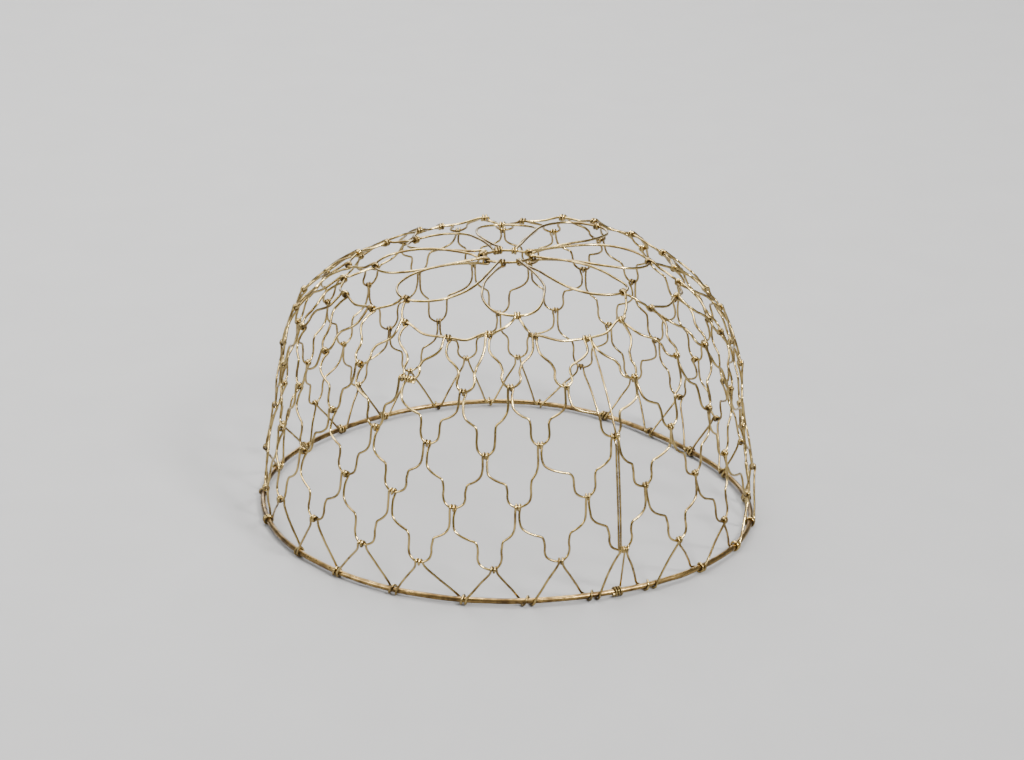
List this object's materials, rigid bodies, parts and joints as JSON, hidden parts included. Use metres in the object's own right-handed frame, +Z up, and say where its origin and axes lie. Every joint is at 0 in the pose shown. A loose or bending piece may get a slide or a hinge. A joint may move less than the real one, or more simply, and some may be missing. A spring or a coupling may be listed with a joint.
{
  "type": "looped wire cap crown",
  "caption": "Dome-shaped cap of looped gold wire: goblet-shaped loops hung in rows from a small top ring and laced to a thick round rim wire.",
  "frame": {"origin": "centre of the box around the cap, on the surface that its rim wraps rest on", "axes": "+Z up through the top ring, -Y towards the front, +X to the left of a wearer facing -Y"},
  "size_m": [0.1818, 0.1798, 0.0966],
  "materials": {
    "net_gold": "worn satin gold wire",
    "ring_gold": "worn satin gold wire",
    "lacing_gold": "darker worn gold wire",
    "mend_gold": "worn satin gold wire",
    "rim_gold": "brownish gold, polished by wear, with scratches"
  },
  "bodies": {
    "root": {"top_ring": "ring_gold", "petal_row": "net_gold", "scallop_row": "net_gold", "loop_row_3": "net_gold", "loop_row_4": "net_gold", "loop_row_5": "net_gold", "loop_row_6": "net_gold", "lacing": "lacing_gold", "mend_wire": "mend_gold", "rim": "rim_gold"}
  },
  "joints": []
}
